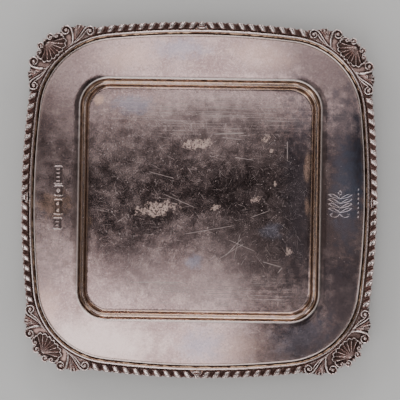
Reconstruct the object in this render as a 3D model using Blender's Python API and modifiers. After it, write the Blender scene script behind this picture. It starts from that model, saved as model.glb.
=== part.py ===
"""Square silver salver with a gadroon, shell and scroll border, on four cast scroll feet.

Frame: metres, +Z up, origin on the table under the centre of the dish, sides square to X and Y.
Pieces: one raised sheet, four lengths of bead wire, eight cast gadroon lengths, four cast corner mounts,
four cast side leaves and four cast feet. The real pieces are soldered; here they keep a 0.3 mm gap.
"""

import math

import bmesh
import bpy
from mathutils import Matrix, Vector

# ---------------------------------------------------------------- driving dimensions (metres)
BEAD_HALF = 0.0960  # centre to the bead wire's centre line, at the middle of a side
BOW_RADIUS = 0.4830  # each side bows outwards on this radius
CORNER_RADIUS = 0.0454  # the bead wire's radius round a corner
SHEET = 0.0010  # thickness of the sheet
GAP = 0.0003  # solder gap between pieces

FOOT_HEIGHT = 0.0125  # table to the underside of the rim
RIM_TOP = FOOT_HEIGHT + SHEET
WELL_DEPTH = 0.0055  # rim top to well floor
BORDER_BASE = RIM_TOP + GAP  # underside of everything soldered on the rim

BEAD_WIRE = 0.00075  # radius of the bead wire
BORDER_IN = BEAD_WIRE + GAP  # inner edge of the cast border, measured outwards from the bead line
BORDER_OUT = 0.0054  # outer edge of the gadroon
BORDER_HEIGHT = 0.0031
SHEET_OUT = 0.0046  # the sheet ends just inside the gadroon's outer edge

LOBES = 10  # gadroons in one half side
LEAN = 0.0024  # a gadroon's outer end lies this much nearer the middle of its side than its inner end
MOUNT_HALF = 0.0235  # half length of a corner mount, along the bead line from the diagonal
GROOVE = 0.24  # share of the gadroon's height lost in the groove between two lobes
# The gadroon's section: share of the way outwards, share of the lobe's height.
GADROON_SECTION = ((0, 0), (0, 0.62), (0.16, 0.93), (0.42, 1), (0.72, 0.80), (0.94, 0.40), (0.90, 0))

LEAF_HALF = 0.0022  # half width of a side leaf, halfway across the border
# The side leaf: share of the way outwards and height, then its section as shares of half width and height.
LEAF_HEIGHTS = ((0.0, 0.0020), (0.16, 0.0031), (0.34, 0.0026), (0.62, 0.0036), (0.86, 0.0028), (1.0, 0.0012))
LEAF_SECTION = ((-1.0, 0.0), (-1.0, 0.55), (-0.55, 0.90), (0.0, 1.0), (0.55, 0.90), (1.0, 0.55), (1.0, 0.0))

FLUTES = 9  # flutes of a corner shell
FOOT_AT = 0.0720  # x and y of a foot's axis

# The well's section, rim to floor: half width, corner radius, depth below the rim top.
WELL_SECTION = (
    (0.0704, 0.0184, 0.0),
    (0.0696, 0.0176, -0.0004),
    (0.0688, 0.0169, -0.0002),
    (0.0679, 0.0160, 0.0013),
    (0.0667, 0.0149, 0.0026),
    (0.0656, 0.0139, 0.0028),
    (0.0647, 0.0132, 0.0042),
    (0.0639, 0.0125, 0.0053),
    (0.0628, 0.0116, WELL_DEPTH),
)

# The corner mount, on the bead line's corner arc.
MIDDLE_BEAD_OUT = 0.0125  # the bead between the two smallest volutes
BACKING = 0.0014  # thickness of the mount's backing plate
SHELL_HINGE = 0.0101  # bead line to the point that the shell's flutes spread from
SHELL_MIDDLE = 0.0061  # bead line to the middle of the shell's outline, a superellipse
SHELL_WIDE = 0.0098  # its half width
SHELL_DEEP = 0.0046  # its half depth
SHELL_SQUARENESS = 2.8  # its power
SHELL_SPREAD = 88  # degrees that the flutes spread to each side
FLUTE_DEPTH = 0.0008
RIDGE_REACH = 0.93  # a ridge between two flutes ends this far along, which scallops the outline
# The shell's section along a ridge, from the hinge: share of the way to the outline, height.
SHELL_SECTION = ((0.10, 0.0008), (0.10, 0.0026), (0.55, 0.0019), (0.88, 0.0024), (1.0, 0.0030), (1.0, 0.0008))
# Outer outline of the backing: degrees round the arc from the diagonal, distance outwards.
MOUNT_OUTLINE = (
    (0.0, 0.0126),
    (5.2, 0.0124),
    (8.6, 0.0110),
    (10.6, 0.0102),
    (14.6, 0.0117),
    (17.8, 0.0094),
    (21.4, 0.0098),
    (24.4, 0.0075),
    (28.4, 0.0058),
)
# Volutes: degrees round the arc, distance outwards, radius.
VOLUTES = ((3.6, 0.0121, 0.0021), (7.9, 0.0104, 0.0014), (13.6, 0.0098, 0.0026), (26.8, 0.0038, 0.0025))
VOLUTE_BASE = 0.0006  # a volute's drum starts this far up inside the backing
VOLUTE_HEIGHT = 0.0020
VOLUTE_TAPER = 0.82  # its top radius over its bottom radius
EYE = 0.42  # the eye's radius over the volute's
EYE_SUNK = 0.0001  # the eye's centre lies this far under the top of the volute's drum
BEAD_RADIUS = 0.0011  # the bead between the two smallest volutes
RELIEF = 0.0015  # height of the middle of the leaves, arms and bead above the mount's underside
LOBE_HEIGHT = 0.0014  # half height of a leaf's lobe
ARM_RADIUS = 0.0007
# Leaf lobes: degrees round the arc, distance outwards, half length, half width, degrees of lean.
LEAF_LOBES = (
    (20.9, 0.0069, 0.0034, 0.0011, 4),
    (18.9, 0.0062, 0.0027, 0.0009, -10),
    (23.3, 0.0065, 0.0025, 0.0010, 24),
)
# The arms that swing out from the bead to the two large volutes: degrees round the arc, distance outwards.
SCROLL_ARMS = (
    ((12.4, 0.0023), (15.2, 0.0040), (16.6, 0.0068), (16.6, 0.0094), (14.9, 0.0115)),
    ((14.6, 0.0020), (18.0, 0.0026), (21.2, 0.0039), (23.8, 0.0053), (26.6, 0.0059)),
)

# The feet, from the foot's axis: distance outwards along the diagonal, height, thickness of the leg.
FOOT_LEG = (
    (0.0006, 0.0114, 0.0026),
    (0.0009, 0.0102, 0.0028),
    (0.0022, 0.0088, 0.0028),
    (0.0028, 0.0071, 0.0024),
    (0.0018, 0.0051, 0.0018),
    (0.0010, 0.0034, 0.0016),
    (0.0013, 0.0020, 0.0017),
    (0.0016, 0.0010, 0.0018),
)
FOOT_BREADTH = 1.4  # the leg's breadth over its thickness
FOOT_PLATE = (0.0058, 0.0072, 0.0012)  # half depth, half width and thickness of the plate under the rim
FOOT_PAD = (0.0040, 0.0034, 0.0016)  # bottom radius, top radius and height of the pad on the table

SIDE_STEPS = 3  # outline segments from the middle of a side to its corner
CORNER_STEPS = 10  # outline segments round one corner

QUARTERS = {"ne": 0, "nw": 1, "sw": 2, "se": 3}  # quarter turns from +X +Y
SIDES = {"east": 0, "north": 1, "west": 2, "south": 3}  # quarter turns from +X


class Cushion:
    """A square with bowed sides and round corners, made of arcs that meet smoothly.

    An offset outline keeps the arcs' centres, so it stays parallel.
    """

    def __init__(self, half, bow, corner):
        self.half, self.bow, self.corner = half, bow, corner
        back, reach = bow - half, bow - corner
        self.centre = (math.sqrt(2 * reach**2 - back**2) - back) / 2  # x and y of a corner arc's centre
        self.turn = math.atan2(self.centre, self.centre + back)  # where a side's arc meets the corner's
        self.side_length = bow * self.turn
        self.eighth = self.side_length + corner * (math.pi / 4 - self.turn)

    def at_angle(self, angle, out=0.0):
        """The point whose outward normal has this angle, from 0 to 90 degrees, moved outwards by out."""
        if angle <= self.turn:
            x, y, radius = self.half - self.bow, 0.0, self.bow
        elif angle < math.pi / 2 - self.turn:
            x, y, radius = self.centre, self.centre, self.corner
        else:
            x, y, radius = 0.0, self.half - self.bow, self.bow
        return Vector((x + (radius + out) * math.cos(angle), y + (radius + out) * math.sin(angle), 0.0))

    def at_length(self, length, out=0.0):
        """The point this far along from the middle of the +X side, within one eighth of the outline."""
        if length <= self.side_length:
            return self.at_angle(length / self.bow, out)
        return self.at_angle(self.turn + (length - self.side_length) / self.corner, out)

    def quarter(self, out=0.0):
        """Points from the middle of the +X side to just short of the middle of the +Y side."""
        side = [self.turn * i / SIDE_STEPS for i in range(SIDE_STEPS)]
        span = math.pi / 2 - 2 * self.turn
        corner = [self.turn + span * i / CORNER_STEPS for i in range(CORNER_STEPS)]
        last = [math.pi / 2 - self.turn + self.turn * i / SIDE_STEPS for i in range(SIDE_STEPS)]
        return [self.at_angle(angle, out) for angle in side + corner + last]

    def loop(self, out=0.0):
        return [turned(point, k) for k in range(4) for point in self.quarter(out)]


BEAD_LINE = Cushion(BEAD_HALF, BOW_RADIUS, CORNER_RADIUS)
STRAIGHT = 50.0  # bow radius of a side that is as good as straight


def turned(point, quarters):
    return Matrix.Rotation(quarters * math.pi / 2, 3, "Z") @ point


# ---------------------------------------------------------------- Blender helpers
def material(name, colour, roughness, metallic=1.0):
    made = bpy.data.materials.new(name)
    made.use_nodes = True
    shader = made.node_tree.nodes["Principled BSDF"]
    shader.inputs["Base Color"].default_value = (*colour, 1.0)
    shader.inputs["Roughness"].default_value = roughness
    shader.inputs["Metallic"].default_value = metallic
    return made


def collection(name):
    made = bpy.data.collections.new(name)
    bpy.context.scene.collection.children.link(made)
    return made


def mesh_from(build):
    """A mesh filled by build(bm)."""
    bm = bmesh.new()
    build(bm)
    bmesh.ops.recalc_face_normals(bm, faces=bm.faces)
    mesh = bpy.data.meshes.new("mesh")
    bm.to_mesh(mesh)
    bm.free()
    return mesh


def skin(bm, rows, closed_rows=True):
    """Faces between neighbouring rows of points, and a cap on the first and the last row."""
    grid = [[bm.verts.new(point) for point in row] for row in rows]
    count = len(grid[0])
    for first, second in zip(grid, grid[1:]):
        for i in range(count if closed_rows else count - 1):
            j = (i + 1) % count
            bm.faces.new((first[i], first[j], second[j], second[i]))
    bm.faces.new(grid[0])
    bm.faces.new(grid[-1])
    return grid


def wire(name, points, radius, sides=2, radii=None):
    """A tube along points, as a curve object."""
    curve = bpy.data.curves.new(name, "CURVE")
    curve.dimensions = "3D"
    curve.bevel_depth = radius
    curve.bevel_resolution = sides
    curve.use_fill_caps = True
    spline = curve.splines.new("POLY")
    spline.points.add(len(points) - 1)
    for i, point in enumerate(points):
        spline.points[i].co = (*point, 1.0)
        spline.points[i].radius = radii[i] if radii else 1.0
    return bpy.data.objects.new(name, curve)


def flat(name, outline, low, high):
    """A flat outline between two heights, as a 2D curve object."""
    curve = bpy.data.curves.new(name, "CURVE")
    curve.dimensions = "2D"
    curve.fill_mode = "BOTH"
    curve.extrude = (high - low) / 2
    spline = curve.splines.new("POLY")
    spline.points.add(len(outline) - 1)
    for i, point in enumerate(outline):
        spline.points[i].co = (point[0], point[1], 0.0, 1.0)
    spline.use_cyclic_u = True
    made = bpy.data.objects.new(name, curve)
    made.location.z = (low + high) / 2
    return made


def welded_mesh(curve_object):
    """A curve object made a closed mesh object, in its place."""
    holder = bpy.context.scene.collection
    holder.objects.link(curve_object)
    bpy.context.view_layer.update()
    evaluated = curve_object.evaluated_get(bpy.context.evaluated_depsgraph_get())
    mesh = bpy.data.meshes.new_from_object(evaluated)
    bm = bmesh.new()
    bm.from_mesh(mesh)
    bmesh.ops.remove_doubles(bm, verts=bm.verts, dist=1e-6)
    bmesh.ops.recalc_face_normals(bm, faces=bm.faces)
    bm.to_mesh(mesh)
    bm.free()
    made = bpy.data.objects.new(curve_object.name, mesh)
    made.matrix_world = curve_object.matrix_world
    bpy.data.objects.remove(curve_object)
    return made


def fused(first, others):
    """One mesh, the union of the mesh objects, in the world's frame. The objects are used up.

    They are joined at 1000 times their size, because a Boolean's tolerances suit larger shapes.
    """
    holder = bpy.context.scene.collection
    for piece in [first, *others]:
        piece.data.transform(Matrix.Scale(1000, 4) @ piece.matrix_basis)
        piece.matrix_basis = Matrix.Identity(4)
        holder.objects.link(piece)
    for piece in others:
        join = first.modifiers.new(piece.name, "BOOLEAN")
        join.operation = "UNION"
        join.object = piece
    bpy.context.view_layer.update()
    mesh = bpy.data.meshes.new_from_object(first.evaluated_get(bpy.context.evaluated_depsgraph_get()))
    mesh.transform(Matrix.Scale(1 / 1000, 4))
    for piece in [first, *others]:
        bpy.data.objects.remove(piece)
    return mesh


def smooth(mesh, sharp_degrees=35):
    mesh.shade_smooth()
    mesh.set_sharp_from_angle(angle=math.radians(sharp_degrees))
    return mesh


# ---------------------------------------------------------------- the raised sheet
def tray_plate_mesh():
    """The open upper surface, from the outer edge to the well's floor, for a Solidify to thicken."""
    rows = [[point + Vector((0, 0, RIM_TOP)) for point in BEAD_LINE.loop(SHEET_OUT)]]
    for half, corner, depth in WELL_SECTION:
        outline = Cushion(half, STRAIGHT, corner)
        rows.append([point + Vector((0, 0, RIM_TOP - depth)) for point in outline.loop()])

    def build(bm):
        grid = skin(bm, rows)
        edge = next(face for face in bm.faces if set(face.verts) == set(grid[0]))
        bm.faces.remove(edge)

    mesh = mesh_from(build)
    if mesh.polygons[-1].normal.z < 0:
        mesh.flip_normals()
    return mesh


# ---------------------------------------------------------------- the bead wire
def bead_wire(name):
    """From the middle of one side round the corner to the middle of the next."""
    points = [*BEAD_LINE.quarter(), turned(BEAD_LINE.at_angle(0), 1)]
    points[0].y += GAP / 2
    points[-1].x += GAP / 2
    height = Vector((0, 0, BORDER_BASE + BEAD_WIRE))
    return wire(name, [point + height for point in points], BEAD_WIRE)


# ---------------------------------------------------------------- the gadroon
def lean_at(out):
    """How far towards the middle of the side a slanted line has moved, this far outwards."""
    middle = (BORDER_IN + BORDER_OUT) / 2
    return LEAN * (out - middle) / (BORDER_OUT - BORDER_IN)


def gadroon_mesh(direction):
    """The half of the +X side towards +Y (direction 1) or -Y (direction -1)."""
    start, end = LEAF_HALF + GAP, BEAD_LINE.eighth - MOUNT_HALF - GAP
    pitch = (end - start) / LOBES
    flank = 1 - 0.12 * GROOVE
    heights = (1 - GROOVE, flank, 1.0, flank)  # across one lobe, from its groove
    rows = []
    for step in range(len(heights) * LOBES + 1):
        length = start + pitch * step / len(heights)
        height = BORDER_HEIGHT * heights[step % len(heights)]
        row = []
        for share, rise in GADROON_SECTION:
            out = BORDER_IN + (BORDER_OUT - BORDER_IN) * share
            point = BEAD_LINE.at_length(length - lean_at(out), out)
            row.append(Vector((point.x, direction * point.y, BORDER_BASE + height * rise)))
        rows.append(row)
    return smooth(mesh_from(lambda bm: skin(bm, rows)), 50)


# ---------------------------------------------------------------- the leaf in the middle of a side
def side_leaf_mesh():
    """A tongue of leaf across the border of the +X side: broad at the bead, narrow at the edge."""
    rows = []
    for share, height in LEAF_HEIGHTS:
        out = BORDER_IN + (BORDER_OUT - BORDER_IN) * share
        half = LEAF_HALF - lean_at(out)
        rows.append([Vector((BEAD_HALF + out, half * y, BORDER_BASE + height * z)) for y, z in LEAF_SECTION])
    return smooth(mesh_from(lambda bm: skin(bm, rows)))


# ---------------------------------------------------------------- the corner mount
def on_arc(degrees, out, up=0.0):
    """A point on the +X +Y mount: degrees round the corner arc from the diagonal, offset, height."""
    angle = math.radians(45 + degrees)
    radius = BEAD_LINE.corner + out
    middle = BEAD_LINE.centre
    return Vector((middle + radius * math.cos(angle), middle + radius * math.sin(angle), BORDER_BASE + up))


def off_diagonal(side, out, up=0.0):
    """A point on the same mount, in straight distances from the diagonal and from the bead line."""
    return on_arc(0, out, up) + Vector((-side, side, 0)) / math.sqrt(2)


def shell_reach(angle):
    """Distance from the shell's hinge to its outline, at this angle from the inward direction."""
    low, high = 0.0, 2 * SHELL_WIDE
    while high - low > 1e-6:
        middle = (low + high) / 2
        side = middle * math.sin(angle) / SHELL_WIDE
        out = (SHELL_HINGE - middle * math.cos(angle) - SHELL_MIDDLE) / SHELL_DEEP
        if abs(side) ** SHELL_SQUARENESS + abs(out) ** SHELL_SQUARENESS < 1:
            low = middle
        else:
            high = middle
    return low


def shell_mesh():
    """A scallop shell: a fan of hollow flutes inside a raised, scalloped lip."""
    columns = 2 * FLUTES
    spread = math.radians(SHELL_SPREAD)
    rows = []
    for column in range(columns + 1):
        angle = -spread + 2 * spread * column / columns
        in_flute = column % 2 == 1
        reach = shell_reach(angle) * (1.0 if in_flute else RIDGE_REACH)
        row = []
        for i, (share, height) in enumerate(SHELL_SECTION):
            sunk = FLUTE_DEPTH if in_flute and i in (2, 3) else 0.0
            distance = reach * share
            side, out = distance * math.sin(angle), SHELL_HINGE - distance * math.cos(angle)
            row.append(off_diagonal(side, out, height - sunk))
        rows.append(row)
    return mesh_from(lambda bm: skin(bm, rows))


def backing_outline():
    """Round the mount: its scrolled outer edge, the slanted ends, and the edge along the bead."""
    half = [*MOUNT_OUTLINE]
    for share in (1.0, 0.5, 0.0):
        out = BORDER_IN + (SHEET_OUT - BORDER_IN) * share
        half.append((math.degrees((MOUNT_HALF + lean_at(out)) / BEAD_LINE.corner), out))
    half += [(degrees, BORDER_IN) for degrees in (22, 15, 8)]
    other = [(-degrees, out) for degrees, out in reversed(half) if degrees]
    return [on_arc(degrees, out) for degrees, out in [*half, (0, BORDER_IN), *other]]


def blob(name, place, size, turn=0.0):
    """An ellipsoid with these half sizes, turned about its vertical axis."""
    mesh = mesh_from(lambda bm: bmesh.ops.create_uvsphere(bm, u_segments=8, v_segments=4, radius=1.0))
    spin = Matrix.Rotation(turn, 4, "Z")
    mesh.transform(Matrix.Translation(place) @ spin @ Matrix.Diagonal((*size, 1.0)))
    return bpy.data.objects.new(name, mesh)


def drum(name, place, segments, low_radius, high_radius, height):
    """A drum or cone frustum that stands on a point."""
    mesh = mesh_from(
        lambda bm: bmesh.ops.create_cone(
            bm, cap_ends=True, segments=segments, radius1=low_radius, radius2=high_radius, depth=height
        )
    )
    mesh.transform(Matrix.Translation(place + Vector((0, 0, height / 2))))
    return bpy.data.objects.new(name, mesh)


def corner_mount_mesh():
    """The +X +Y corner's casting: backing, shell, volutes with eyes, scroll arms, leaves and a bead."""
    backing = welded_mesh(flat("backing", backing_outline(), BORDER_BASE, BORDER_BASE + BACKING))
    pieces = [bpy.data.objects.new("shell", shell_mesh())]
    pieces.append(blob("middle_bead", off_diagonal(0, MIDDLE_BEAD_OUT, RELIEF), (BEAD_RADIUS,) * 3))
    for side in (-1, 1):
        for degrees, out, radius in VOLUTES:
            place = on_arc(side * degrees, out, VOLUTE_BASE)
            pieces.append(drum("volute", place, 10, radius, radius * VOLUTE_TAPER, VOLUTE_HEIGHT))
            top = place + Vector((0, 0, VOLUTE_HEIGHT - EYE_SUNK))
            pieces.append(blob("eye", top, (radius * EYE,) * 3))
        for degrees, out, length, width, lean in LEAF_LOBES:
            turn = math.radians(45 + side * (degrees + lean))
            size = (length, width, LOBE_HEIGHT)
            pieces.append(blob("lobe", on_arc(side * degrees, out, RELIEF), size, turn))
        for path in SCROLL_ARMS:
            arm = [on_arc(side * degrees, out, RELIEF) for degrees, out in path]
            pieces.append(welded_mesh(wire("arm", arm, ARM_RADIUS, 1)))
    return smooth(fused(backing, pieces), 30)


# ---------------------------------------------------------------- the feet
def foot_mesh():
    """A cast scroll foot: an oval plate under the rim, a leg with a knee, and a flat round pad."""
    middles = [Vector((out, 0, up)) for out, up, _ in FOOT_LEG]
    leg = welded_mesh(wire("leg", middles, 1.0, 1, [radius for _, _, radius in FOOT_LEG]))
    leg.data.transform(Matrix.Diagonal((1.0, FOOT_BREADTH, 1.0, 1.0)))
    depth, width, thickness = FOOT_PLATE
    top = FOOT_HEIGHT - GAP
    angles = [2 * math.pi * i / 20 for i in range(20)]
    outline = [(depth * math.cos(angle), width * math.sin(angle)) for angle in angles]
    plate = welded_mesh(flat("plate", outline, top - thickness, top))
    pad = drum("pad", Vector((FOOT_LEG[-1][0], 0, 0)), 16, *FOOT_PAD)
    mesh = fused(plate, [leg, pad])
    mesh.transform(Matrix.Rotation(math.pi / 4, 4, "Z"))
    return smooth(mesh)


# ---------------------------------------------------------------- assembly
def place(name, data, finish, parts, root, quarters=0, location=(0, 0, 0)):
    """An object from shared data, turned by quarter turns round the dish's axis, with its material."""
    made = bpy.data.objects.new(name, data)
    made.parent = root
    turn = Matrix.Rotation(quarters * math.pi / 2, 4, "Z")
    made.matrix_basis = turn @ Matrix.Translation(location)
    if not data.materials:
        data.materials.append(finish)
    parts.objects.link(made)
    return made


def main():
    for old in list(bpy.data.objects):
        bpy.data.objects.remove(old)
    parts = collection("silver_salver")
    root = bpy.data.objects.new("salver", None)
    parts.objects.link(root)

    sheet_silver = material("sheet_silver", (0.55, 0.50, 0.49), 0.30)
    cast_silver = material("cast_silver", (0.66, 0.60, 0.58), 0.24)

    plate = place("tray_plate", smooth(tray_plate_mesh()), sheet_silver, parts, root)
    shell = plate.modifiers.new("sheet", "SOLIDIFY")
    shell.thickness = SHEET
    shell.offset = -1.0
    shell.use_even_offset = True

    bead = bead_wire("bead_wire")
    corner = corner_mount_mesh()
    foot = foot_mesh()
    for name, quarters in QUARTERS.items():
        place(f"bead_wire_{name}", bead.data, cast_silver, parts, root, quarters)
        place(f"corner_mount_{name}", corner, cast_silver, parts, root, quarters)
        place(f"foot_{name}", foot, cast_silver, parts, root, quarters, (FOOT_AT, FOOT_AT, 0))
    bpy.data.objects.remove(bead)

    leaf = side_leaf_mesh()
    left, right = gadroon_mesh(1), gadroon_mesh(-1)  # as seen from the middle of the dish
    for name, quarters in SIDES.items():
        place(f"side_leaf_{name}", leaf, cast_silver, parts, root, quarters)
        place(f"gadroon_{name}_left", left, cast_silver, parts, root, quarters)
        place(f"gadroon_{name}_right", right, cast_silver, parts, root, quarters)


main()
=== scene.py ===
import contextlib
import math

import bmesh
import bpy
import numpy as np
from mathutils import Matrix, Vector


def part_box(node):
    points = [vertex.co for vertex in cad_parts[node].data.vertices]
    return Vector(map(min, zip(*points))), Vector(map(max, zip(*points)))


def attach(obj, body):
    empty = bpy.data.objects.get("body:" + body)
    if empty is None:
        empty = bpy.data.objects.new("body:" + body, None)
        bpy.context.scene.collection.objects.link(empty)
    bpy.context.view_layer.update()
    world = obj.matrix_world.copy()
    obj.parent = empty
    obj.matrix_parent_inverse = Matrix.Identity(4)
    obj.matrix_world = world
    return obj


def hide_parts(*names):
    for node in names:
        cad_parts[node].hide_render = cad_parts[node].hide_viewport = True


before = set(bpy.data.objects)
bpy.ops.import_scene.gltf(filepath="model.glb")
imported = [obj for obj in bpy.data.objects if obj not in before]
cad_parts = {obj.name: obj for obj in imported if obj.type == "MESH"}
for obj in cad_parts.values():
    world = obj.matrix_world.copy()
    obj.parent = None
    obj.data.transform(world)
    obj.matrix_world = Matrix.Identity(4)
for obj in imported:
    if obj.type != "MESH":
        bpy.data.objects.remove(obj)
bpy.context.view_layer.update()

# Looks of a square silver salver, built round the imported frame. Lengths are in millimetres until a mesh is
# made. The points of the meshes carry patina and painted shade, painted highlights, and soot and painted
# shade, from 0 to 1, for the materials.
MM = 0.001
GAP = 0.3  # solder gap between pieces
SHEET = 1.0  # thickness of the sheet
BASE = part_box("side_leaf_east")[0].z / MM  # underside of everything soldered on the rim
RIM_TOP = BASE - GAP
BEAD_WIRE = (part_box("bead_wire_ne")[1].z / MM - BASE) / 2  # radius of the bead wire
SHEET_OUT = 4.6  # the sheet's edge, outwards of the bead line
BEAD_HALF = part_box("tray_plate")[1].x / MM - SHEET_OUT  # centre to the bead line, in the middle of a side
BOW = 483.0  # radius of the bead line along a side
CORNER = 45.4  # radius of the bead line round a corner
STRAIGHT = 50000.0  # bow of the well's sides
BORDER_IN = BEAD_WIRE + GAP  # inner edge of the cast border, outwards of the bead line
BORDER_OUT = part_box("gadroon_east_left")[1].x / MM - BEAD_HALF
LEAN = 2.4  # slant of the lobes, from their inner ends to their outer ones
LOBES = 10  # lobes in half a side
MOUNT_HALF = 23.5  # half length of a corner casting, along the bead line
LEAF_HALF = 2.2  # half width of a side leaf
FOOT_AXIS = 72.0  # x and y of a foot
QUARTERS = {"ne": 0, "nw": 1, "sw": 2, "se": 3}  # quarter turns from +X +Y
SIDES = {"east": 0, "north": 1, "west": 2, "south": 3}  # quarter turns from +X


# -------------------- outlines and curves
class Cushion:
    """A square with bowed sides and round corners, of arcs that meet smoothly."""

    def __init__(self, half, bow, corner):
        self.half, self.bow, self.corner = half, bow, corner
        back, reach = bow - half, bow - corner
        self.centre = (math.sqrt(2 * reach**2 - back**2) - back) / 2  # x and y of a corner arc's centre
        self.turn = math.atan2(self.centre, self.centre + back)  # where a side's arc meets the corner's
        self.side = bow * self.turn
        self.eighth = self.side + corner * (math.pi / 4 - self.turn)

    def at_angle(self, angle, out=0.0):
        """Points whose outward normals have these angles, from 0 to 90 degrees, moved outwards by out."""
        low, high = angle <= self.turn, angle >= math.pi / 2 - self.turn
        x = np.where(low, self.half - self.bow, np.where(high, 0.0, self.centre))
        y = np.where(low, 0.0, np.where(high, self.half - self.bow, self.centre))
        radius = np.where(low | high, self.bow, self.corner) + out
        return np.stack([x + radius * np.cos(angle), y + radius * np.sin(angle)], -1)

    def at_length(self, length, out=0.0):
        """Points this far along from the middle of the +X side, within an eighth of the outline."""
        past = self.turn + (length - self.side) / self.corner
        return self.at_angle(np.where(length <= self.side, length / self.bow, past), out)

    def ring(self, side_steps, corner_steps, out=0.0):
        """Points all the way round, from the middle of the +X side, in four alike quarters."""
        span = math.pi / 2 - 2 * self.turn
        first = self.turn * np.arange(side_steps) / side_steps
        middle = self.turn + span * np.arange(corner_steps) / corner_steps
        last = math.pi / 2 - self.turn + self.turn * np.arange(side_steps) / side_steps
        x, y = self.at_angle(np.concatenate([first, middle, last]), out).T
        return np.concatenate([np.stack(pair, -1) for pair in ((x, y), (-y, x), (-x, -y), (y, -x))])


BEAD_LINE = Cushion(BEAD_HALF, BOW, CORNER)


def lean_at(out):
    """How far a slanted line has moved towards the middle of the side, this far outwards."""
    return LEAN * (out - (BORDER_IN + BORDER_OUT) / 2) / (BORDER_OUT - BORDER_IN)


def spline(points, per=8):
    """A smooth path through points, as a dense array with per steps from point to point."""
    points = np.array(points, float)
    p = np.vstack([2 * points[0] - points[1], points, 2 * points[-1] - points[-2]])
    t = np.linspace(0, 1, per, endpoint=False)[:, None]
    parts = []
    for a, b, c, d in zip(p, p[1:], p[2:], p[3:]):
        square, cube = 2 * a - 5 * b + 4 * c - d, 3 * (b - c) + d - a
        parts.append(0.5 * (2 * b + (c - a) * t + square * t**2 + cube * t**3))
    return np.vstack([*parts, p[-2:-1]])


def along(path, x, y):
    """Distance from each point to a path, and how far along it the nearest point lies, from 0 to 1."""
    lengths = np.concatenate([[0], np.cumsum(np.hypot(*np.diff(path, axis=0).T))])
    best, where = np.full(x.shape, np.inf), np.zeros(x.shape)
    for i in range(len(path) - 1):
        (ax, ay), (dx, dy) = path[i], path[i + 1] - path[i]
        t = np.clip(((x - ax) * dx + (y - ay) * dy) / (dx * dx + dy * dy + 1e-12), 0, 1)
        distance = np.hypot(x - ax - t * dx, y - ay - t * dy)
        nearer = distance < best
        best = np.where(nearer, distance, best)
        where = np.where(nearer, (lengths[i] + t * (lengths[i + 1] - lengths[i])) / lengths[-1], where)
    return best, where


def read(x, table):
    """The second column of a table, between its rows, where the first is x."""
    return np.interp(x, *np.transpose(table))


def bump(x, middle, half):
    """A smooth bell, 1 at middle, with this half width at 1/e."""
    return np.exp(-(((x - middle) / half) ** 2))


def smoothstep(x, low, high):
    """0 below low, 1 above high, smooth between."""
    t = np.clip((x - low) / (high - low), 0, 1)
    return t * t * (3 - 2 * t)


def box_inside(x, y, middle_x, middle_y, half_x, half_y, corner):
    """Distance inside a rounded rectangle, negative outside."""
    qx = np.abs(x - middle_x) - half_x + corner
    qy = np.abs(y - middle_y) - half_y + corner
    return corner - np.hypot(np.maximum(qx, 0), np.maximum(qy, 0)) - np.minimum(np.maximum(qx, qy), 0)


# -------------------- mesh helpers
def finish_piece(name, mesh, node, slot, sharp, quarters=0):
    """A shown piece, from a mesh in metres, that stands for a CAD node and rides on its body."""
    if quarters:
        mesh = mesh.copy()
        mesh.transform(Matrix.Rotation(quarters * math.pi / 2, 4, "Z"))
    mesh.name = name
    mesh.shade_smooth()
    mesh.set_sharp_from_angle(angle=math.radians(sharp))
    mesh.materials.clear()
    mesh.materials.append(finishes[slot])
    made = linked(name, mesh)
    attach(made, "root")
    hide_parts(node)


def set_attributes(mesh, attributes):
    for name, values in attributes.items():
        made = mesh.attributes.get(name) or mesh.attributes.new(name, "FLOAT", "POINT")
        made.data.foreach_set("value", np.asarray(values, np.float32).ravel())


def mesh_of(points, faces, **attributes):
    """A mesh in metres, from points in millimetres, with float attributes on its points."""
    mesh = bpy.data.meshes.new("mesh")
    mesh.from_pydata((points * MM).tolist(), [], faces)
    set_attributes(mesh, attributes)
    return mesh


def linked(name, data):
    """A new object in the scene."""
    made = bpy.data.objects.new(name, data)
    bpy.context.scene.collection.objects.link(made)
    return made


@contextlib.contextmanager
def edited(mesh):
    """The mesh as a bmesh, which is written back to it at the end."""
    bm = bmesh.new()
    bm.from_mesh(mesh)
    yield bm
    bm.to_mesh(mesh)
    bm.free()


def places_in(mesh):
    """The mesh's points as an array, in its own units."""
    places = np.zeros(len(mesh.vertices) * 3)
    mesh.vertices.foreach_get("co", places)
    return places.reshape(-1, 3)


def tube_faces(rows, columns):
    """Faces of a capped tube of closed rows of points, numbered row by row."""
    faces = []
    for r in range(rows - 1):
        for c in range(columns):
            d = (c + 1) % columns
            faces.append((r * columns + c, r * columns + d, (r + 1) * columns + d, (r + 1) * columns + c))
    return [*faces, tuple(range(columns)), tuple(range((rows - 1) * columns, rows * columns))]


def outward(mesh):
    """The mesh with all its faces pointing out."""
    with edited(mesh) as bm:
        bmesh.ops.recalc_face_normals(bm, faces=bm.faces)
    return mesh


# -------------------- struck marks and engraving
MARK_AREA = (-83.6, -76.8, -18.9, 19.0)  # lowest and highest x, lowest and highest y
PUNCH_DEPTH, MOTIF_RISE = 0.3, 0.2
# The punches: middle x and y, half width, half height, corner radius.
PUNCHES = (
    (-80.4, 12.95, 2.1, 5.1, 0.8), (-80.0, 4.1, 2.3, 2.85, 0.7),
    (-80.2, -5.15, 2.3, 4.3, 1.3), (-80.4, -14.55, 2.2, 3.1, 0.5),
)
DEVICE_AREA = (72.8, 91.6, -9.4, 8.8)
DEVICE_AT = (79.8, -0.9)
DOTS_AT, DOT_PITCH, DOT_RADIUS = (90.2, 7.4), 2.6, 0.5  # the first of seven dots beside the device
LINE_HALF = 0.17  # half width of an engraved line
# Depth of the engraved cuts, and the painted highlight along them.
CUT_DEPTH, CUT_HIGHLIGHT = 0.1, 0.36


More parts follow.
